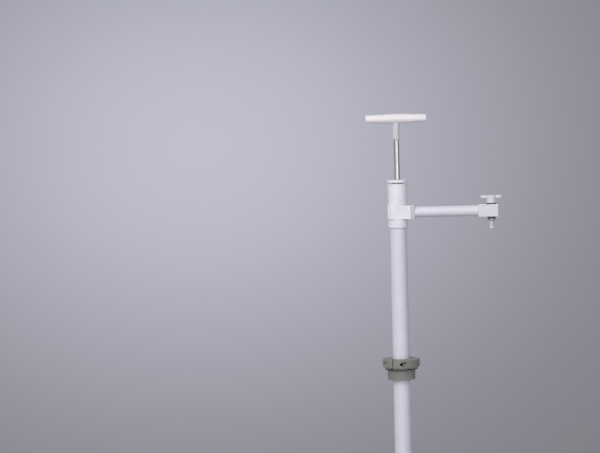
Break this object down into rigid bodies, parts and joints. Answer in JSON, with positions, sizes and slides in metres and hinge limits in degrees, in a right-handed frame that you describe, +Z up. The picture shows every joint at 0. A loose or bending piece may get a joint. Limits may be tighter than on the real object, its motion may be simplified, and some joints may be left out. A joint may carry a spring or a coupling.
{
  "type": "drum barrel pump",
  "caption": "Hand-lift piston pump for a closed-head drum, with screw-in adapter, split clamp ring, immersion tube, T-handled rod, side outlet arm and angle stopcock.",
  "frame": {"origin": "on the tube's axis in the drum's sealing plane, under the adapter's gasket", "axes": "+Z up along the tube to the T-handle, +X along the outlet arm to the stopcock"},
  "size_m": [0.2847, 0.0786, 1.4378],
  "materials": {
    "adapter_plastic": "moulded dark grey polypropylene with machined thread",
    "grey_plastic": "turned pebble-grey polypropylene, fine tool marks",
    "white_plastic": "machined natural white plastic, satin",
    "tube_plastic": "extruded natural white plastic, satin with faint die lines",
    "handle_plastic": "moulded warm white plastic, semi-gloss",
    "slide_plastic": "machined PTFE, waxy",
    "seal_grey": "filled sealing compound, matt",
    "black_rubber": "black elastomer, matt",
    "rod_steel": "polished stainless rod with fine drawn lines",
    "screw_steel": "stainless fastener",
    "ball_steel": "lapped stainless ball"
  },
  "bodies": {
    "adapter": {"drum_adapter": "adapter_plastic", "flange_gasket": "black_rubber"},
    "clamp": {"clamp_ring": "grey_plastic", "clamp_washer": "screw_steel", "clamp_nut": "screw_steel"},
    "clamp_screw": {"clamp_screw": "screw_steel"},
    "pump": {"immersion_tube": "tube_plastic", "pump_head": "white_plastic", "tube_seal": "black_rubber", "rod_guide_bush": "slide_plastic", "rod_packing": "seal_grey", "gland_washer": "screw_steel", "gland_cap": "white_plastic", "rod_wiper": "seal_grey", "outlet_arm": "tube_plastic", "stopcock_block": "white_plastic", "foot_valve_body": "white_plastic", "foot_valve_seal": "black_rubber", "foot_ball_stop": "screw_steel", "inlet_strainer": "white_plastic"},
    "piston": {"piston_body": "slide_plastic", "piston_cups": "seal_grey", "piston_ball_pin": "screw_steel"},
    "rod": {"piston_rod": "rod_steel", "t_handle": "handle_plastic", "stop_collar": "slide_plastic", "collar_screw": "screw_steel", "rod_end_nut": "screw_steel"},
    "stopcock": {"stopcock_plug": "slide_plastic", "plug_seals": "black_rubber", "plug_washer": "black_rubber", "wing_handle": "white_plastic", "wing_screw": "screw_steel", "stem_washer": "black_rubber", "retaining_ring": "screw_steel", "outlet_nozzle": "white_plastic", "nozzle_seal": "black_rubber"},
    "piston_ball": {"piston_ball": "ball_steel"},
    "foot_ball": {"foot_ball": "ball_steel"}
  },
  "joints": [
    {"name": "pump_swivel", "type": "hinge", "parent": "adapter", "child": "clamp", "pos_m": [0, 0, 0.0137], "axis": [0, 0, 1], "continuous": true},
    {"name": "clamp_screw_turn", "type": "hinge", "parent": "clamp", "child": "clamp_screw", "pos_m": [-0.01238, -0.0282, 0.01268], "axis": [0.9157, -0.4019, 0], "continuous": true},
    {"name": "depth_slide", "type": "slide", "parent": "clamp", "child": "pump", "axis": [0, 0, 1], "range_m": [-0.2778, 0.85]},
    {"name": "stroke", "type": "slide", "parent": "pump", "child": "piston", "axis": [0, 0, 1], "range_m": [-0.0842, 0.3]},
    {"name": "handle_turn", "type": "hinge", "parent": "piston", "child": "rod", "pos_m": [0, 0, 0.5], "axis": [0, 0, 1], "continuous": true},
    {"name": "stopcock_turn", "type": "hinge", "parent": "pump", "child": "stopcock", "pos_m": [0.198, 0, 0.3336], "axis": [0, 0, 1], "range_deg": [0, 90]},
    {"name": "piston_valve_lift", "type": "slide", "parent": "piston", "child": "piston_ball", "axis": [0, 0, 1], "range_m": [0, 0.005]},
    {"name": "foot_valve_lift", "type": "slide", "parent": "pump", "child": "foot_ball", "axis": [0, 0, 1], "range_m": [0, 0.006]}
  ]
}
